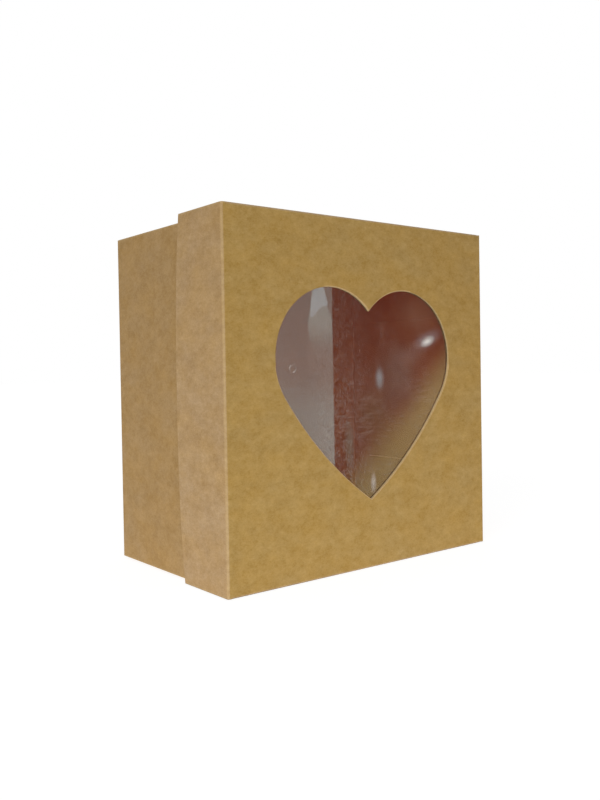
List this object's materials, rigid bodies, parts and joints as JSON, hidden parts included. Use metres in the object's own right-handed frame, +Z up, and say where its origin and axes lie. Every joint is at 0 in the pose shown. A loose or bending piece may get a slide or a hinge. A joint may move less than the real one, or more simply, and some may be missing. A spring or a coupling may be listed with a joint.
{
  "type": "window gift box",
  "caption": "Square two-piece folding gift box in kraft board: a lid with a heart-shaped film window that lifts off a deeper base tray, shown standing on one side.",
  "frame": {"origin": "on the floor under the middle of the closed box, which stands on the bottom wall of its lid as pictured", "axes": "+Z up along the upright heart, -Y out of the lid's face, +Y out of the base's floor, +X to the right as seen facing the lid"},
  "size_m": [0.206, 0.1208, 0.2],
  "materials": {
    "kraft_face": "matt natural kraft board",
    "kraft_wall": "matt natural kraft board",
    "kraft_base": "matt natural kraft board",
    "clear_film": "clear glossy plastic film"
  },
  "bodies": {
    "base": {"base_floor_panel": "kraft_base", "base_wall_left": "kraft_base", "base_wall_right": "kraft_base", "base_wall_top": "kraft_base", "base_wall_bottom": "kraft_base", "base_flap_top_left": "kraft_base", "base_flap_top_right": "kraft_base", "base_flap_bottom_left": "kraft_base", "base_flap_bottom_right": "kraft_base"},
    "lid": {"lid_face_panel": "kraft_face", "lid_wall_left": "kraft_wall", "lid_wall_right": "kraft_wall", "lid_wall_top": "kraft_wall", "lid_wall_bottom": "kraft_wall", "lid_flap_top_left": "kraft_wall", "lid_flap_top_right": "kraft_wall", "lid_flap_bottom_left": "kraft_wall", "lid_flap_bottom_right": "kraft_wall", "window_film": "clear_film"}
  },
  "joints": [
    {"name": "lid_lift", "type": "slide", "parent": "base", "child": "lid", "axis": [0, -1, 0], "range_m": [0, 0.15]}
  ]
}
